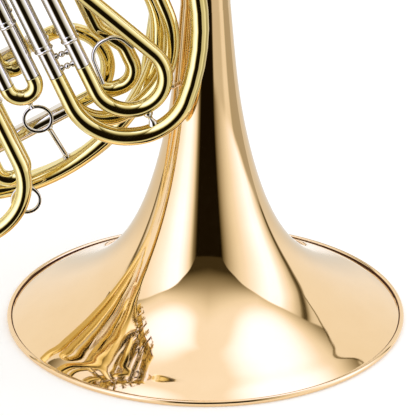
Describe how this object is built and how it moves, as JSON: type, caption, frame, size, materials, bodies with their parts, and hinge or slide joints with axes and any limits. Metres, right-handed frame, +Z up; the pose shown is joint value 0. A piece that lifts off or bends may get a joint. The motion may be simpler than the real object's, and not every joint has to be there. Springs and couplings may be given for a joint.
{
  "type": "double french horn",
  "caption": "Double horn with a flared bell, round wrap, rotary valves with finger levers and rods, and pull-out tuning slides, standing on its bell.",
  "frame": {"origin": "middle of the box's footprint, at the height of the rim the horn stands on", "axes": "+Z up along the bell axis away from its mouth, +X from the wrap towards the bell, +Y away from the slides and levers"},
  "size_m": [0.5646, 0.315, 0.5057],
  "materials": {
    "gold_brass": "polished gold brass, clear lacquer",
    "yellow_brass": "polished yellow brass, clear lacquer",
    "nickel_silver": "polished nickel silver"
  },
  "bodies": {
    "horn": {"sleeves_f1": "nickel_silver", "sleeves_f2": "nickel_silver", "sleeves_f3": "nickel_silver", "sleeves_bflat1": "nickel_silver", "sleeves_bflat2": "nickel_silver", "sleeves_bflat3": "nickel_silver", "casing_change": "yellow_brass", "cap_change": "nickel_silver", "casing_1": "yellow_brass", "cap_1": "nickel_silver", "casing_2": "yellow_brass", "cap_2": "nickel_silver", "casing_3": "yellow_brass", "cap_3": "nickel_silver", "lever_rack": "yellow_brass", "hinge_rod": "nickel_silver", "sleeves_main": "nickel_silver", "bell": "gold_brass", "bell_tail": "yellow_brass", "first_branch": "yellow_brass", "feed_tube": "yellow_brass", "mouthpipe": "yellow_brass", "mouthpiece_receiver": "nickel_silver", "pipe_brace": "nickel_silver", "main_brace": "nickel_silver", "bell_brace": "nickel_silver", "finger_hook": "nickel_silver"},
    "slide_f1": {"slide_f1": "yellow_brass"},
    "slide_f2": {"slide_f2": "yellow_brass", "finger_ring_f2": "nickel_silver"},
    "slide_f3": {"slide_f3_legs": "nickel_silver", "slide_f3_loop": "yellow_brass", "pull_wire_f3": "nickel_silver", "loop_brace_f3": "nickel_silver"},
    "slide_bflat1": {"slide_bflat1": "yellow_brass", "finger_ring_bflat1": "nickel_silver"},
    "slide_bflat2": {"slide_bflat2": "yellow_brass"},
    "slide_bflat3": {"slide_bflat3": "yellow_brass"},
    "slide_main": {"slide_main": "yellow_brass"},
    "lever_change": {"lever_change": "nickel_silver"},
    "rotor_change": {"rotor_change": "yellow_brass", "stop_arm_change": "nickel_silver"},
    "link_change": {"link_change": "nickel_silver"},
    "lever_1": {"lever_1": "nickel_silver"},
    "rotor_1": {"rotor_1": "yellow_brass", "stop_arm_1": "nickel_silver"},
    "link_1": {"link_1": "nickel_silver"},
    "lever_2": {"lever_2": "nickel_silver"},
    "rotor_2": {"rotor_2": "yellow_brass", "stop_arm_2": "nickel_silver"},
    "link_2": {"link_2": "nickel_silver"},
    "lever_3": {"lever_3": "nickel_silver"},
    "rotor_3": {"rotor_3": "yellow_brass", "stop_arm_3": "nickel_silver"},
    "link_3": {"link_3": "nickel_silver"}
  },
  "joints": [
    {"name": "slide_f1_pull", "type": "slide", "parent": "horn", "child": "slide_f1", "axis": [0.4035, 0, -0.915], "range_m": [0, 0.027]},
    {"name": "slide_f2_pull", "type": "slide", "parent": "horn", "child": "slide_f2", "axis": [0.4035, 0, -0.915], "range_m": [0, 0.03]},
    {"name": "slide_f3_pull", "type": "slide", "parent": "horn", "child": "slide_f3", "axis": [0.4035, 0, -0.915], "range_m": [0, 0.035]},
    {"name": "slide_bflat1_pull", "type": "slide", "parent": "horn", "child": "slide_bflat1", "axis": [0.4035, 0, -0.915], "range_m": [0, 0.04]},
    {"name": "slide_bflat2_pull", "type": "slide", "parent": "horn", "child": "slide_bflat2", "axis": [0.4035, 0, -0.915], "range_m": [0, 0.028]},
    {"name": "slide_bflat3_pull", "type": "slide", "parent": "horn", "child": "slide_bflat3", "axis": [0.4035, 0, -0.915], "range_m": [0, 0.025]},
    {"name": "slide_main_pull", "type": "slide", "parent": "horn", "child": "slide_main", "axis": [0.866, 0, 0.5], "range_m": [0, 0.031]},
    {"name": "lever_change_press", "type": "hinge", "parent": "horn", "child": "lever_change", "pos_m": [-0.14319, -0.05, 0.3495], "axis": [-0.915, 0, -0.4035], "range_deg": [0, 25], "stiffness_Nm_per_rad": 0.1, "springref_deg": -20.05},
    {"name": "rotor_change_turn", "type": "hinge", "parent": "horn", "child": "rotor_change", "pos_m": [-0.13927, -0.041, 0.30096], "axis": [0, -1, 0], "range_deg": [0, 90]},
    {"name": "link_change_swing", "type": "hinge", "parent": "lever_change", "child": "link_change", "pos_m": [-0.14631, -0.07441, 0.34221], "axis": [-0.915, 0, -0.4035], "range_deg": [-25, 0]},
    {"name": "lever_1_press", "type": "hinge", "parent": "horn", "child": "lever_1", "pos_m": [-0.10476, -0.05, 0.36645], "axis": [-0.915, 0, -0.4035], "range_deg": [0, 25], "stiffness_Nm_per_rad": 0.1, "springref_deg": -20.05},
    {"name": "rotor_1_turn", "type": "hinge", "parent": "horn", "child": "rotor_1", "pos_m": [-0.10267, -0.041, 0.3171], "axis": [0, -1, 0], "range_deg": [0, 90]},
    {"name": "link_1_swing", "type": "hinge", "parent": "lever_1", "child": "link_1", "pos_m": [-0.10788, -0.07441, 0.35916], "axis": [-0.915, 0, -0.4035], "range_deg": [-25, 0]},
    {"name": "lever_2_press", "type": "hinge", "parent": "horn", "child": "lever_2", "pos_m": [-0.08463, -0.05, 0.37533], "axis": [-0.915, 0, -0.4035], "range_deg": [0, 25], "stiffness_Nm_per_rad": 0.1, "springref_deg": -20.05},
    {"name": "rotor_2_turn", "type": "hinge", "parent": "horn", "child": "rotor_2", "pos_m": [-0.06607, -0.041, 0.33324], "axis": [0, -1, 0], "range_deg": [0, 90]},
    {"name": "link_2_swing", "type": "hinge", "parent": "lever_2", "child": "link_2", "pos_m": [-0.07714, -0.07441, 0.37272], "axis": [-0.915, 0, -0.4035], "range_deg": [-25, 0]},
    {"name": "lever_3_press", "type": "hinge", "parent": "horn", "child": "lever_3", "pos_m": [-0.0645, -0.05, 0.38421], "axis": [-0.915, 0, -0.4035], "range_deg": [0, 25], "stiffness_Nm_per_rad": 0.1, "springref_deg": -20.05},
    {"name": "rotor_3_turn", "type": "hinge", "parent": "horn", "child": "rotor_3", "pos_m": [-0.02947, -0.041, 0.34938], "axis": [0, 1, 0], "range_deg": [0, 90]},
    {"name": "link_3_swing", "type": "hinge", "parent": "lever_3", "child": "link_3", "pos_m": [-0.05701, -0.07441, 0.3816], "axis": [-0.915, 0, -0.4035], "range_deg": [-25, 0]}
  ],
  "couplings": [
    {"joint": "rotor_change_turn", "follows": "lever_change_press", "ratio": 3.6},
    {"joint": "link_change_swing", "follows": "lever_change_press", "ratio": -1},
    {"joint": "rotor_1_turn", "follows": "lever_1_press", "ratio": 3.6},
    {"joint": "link_1_swing", "follows": "lever_1_press", "ratio": -1},
    {"joint": "rotor_2_turn", "follows": "lever_2_press", "ratio": 3.6},
    {"joint": "link_2_swing", "follows": "lever_2_press", "ratio": -1},
    {"joint": "rotor_3_turn", "follows": "lever_3_press", "ratio": 3.6},
    {"joint": "link_3_swing", "follows": "lever_3_press", "ratio": -1}
  ]
}
